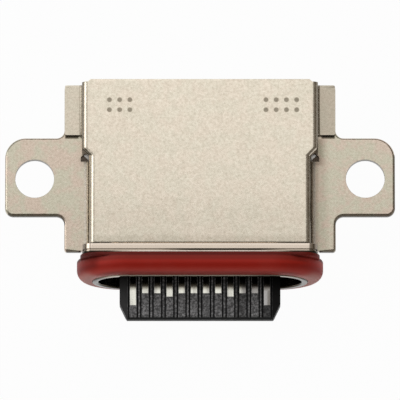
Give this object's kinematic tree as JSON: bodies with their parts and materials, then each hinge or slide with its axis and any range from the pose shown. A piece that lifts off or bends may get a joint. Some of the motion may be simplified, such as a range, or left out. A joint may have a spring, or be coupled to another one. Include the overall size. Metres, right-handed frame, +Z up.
{
  "type": "charging port",
  "caption": "Reversible charging port: a contact tongue in an oval metal mouth with a red seal ring, under a folded cover, on a bracket with screw ears.",
  "frame": {"origin": "midway between the screw holes, on the face of the ears that seats on the board", "axes": "+X along the screw line, +Y to the rear, away from the plug, +Z up, out of the board"},
  "size_m": [0.016, 0.0098, 0.0044],
  "materials": {
    "cover_steel": "satin nickel plating on stainless sheet",
    "bracket_steel": "satin nickel plating on stainless sheet",
    "shell_steel": "polished drawn steel",
    "seal_silicone": "red silicone",
    "insulator_plastic": "black moulded plastic",
    "sealant_resin": "cured dark resin",
    "plate_steel": "bare stainless sheet",
    "contact_plating": "pale silver plating on copper alloy"
  },
  "bodies": {
    "root": {"shield_cover": "cover_steel", "mounting_bracket": "bracket_steel", "front_shell": "shell_steel", "seal_ring": "seal_silicone", "insulator": "insulator_plastic", "mid_plate": "plate_steel", "ground_plate_upper": "plate_steel", "ground_plate_lower": "plate_steel", "rear_sealant": "sealant_resin", "contact_a1": "contact_plating", "contact_a2": "contact_plating", "contact_a3": "contact_plating", "contact_a4": "contact_plating", "contact_a5": "contact_plating", "contact_a6": "contact_plating", "contact_a7": "contact_plating", "contact_a8": "contact_plating", "contact_a9": "contact_plating", "contact_a10": "contact_plating", "contact_a11": "contact_plating", "contact_a12": "contact_plating", "contact_b1": "contact_plating", "contact_b2": "contact_plating", "contact_b3": "contact_plating", "contact_b4": "contact_plating", "contact_b5": "contact_plating", "contact_b6": "contact_plating", "contact_b7": "contact_plating", "contact_b8": "contact_plating", "contact_b9": "contact_plating", "contact_b10": "contact_plating", "contact_b11": "contact_plating", "contact_b12": "contact_plating"}
  },
  "joints": []
}
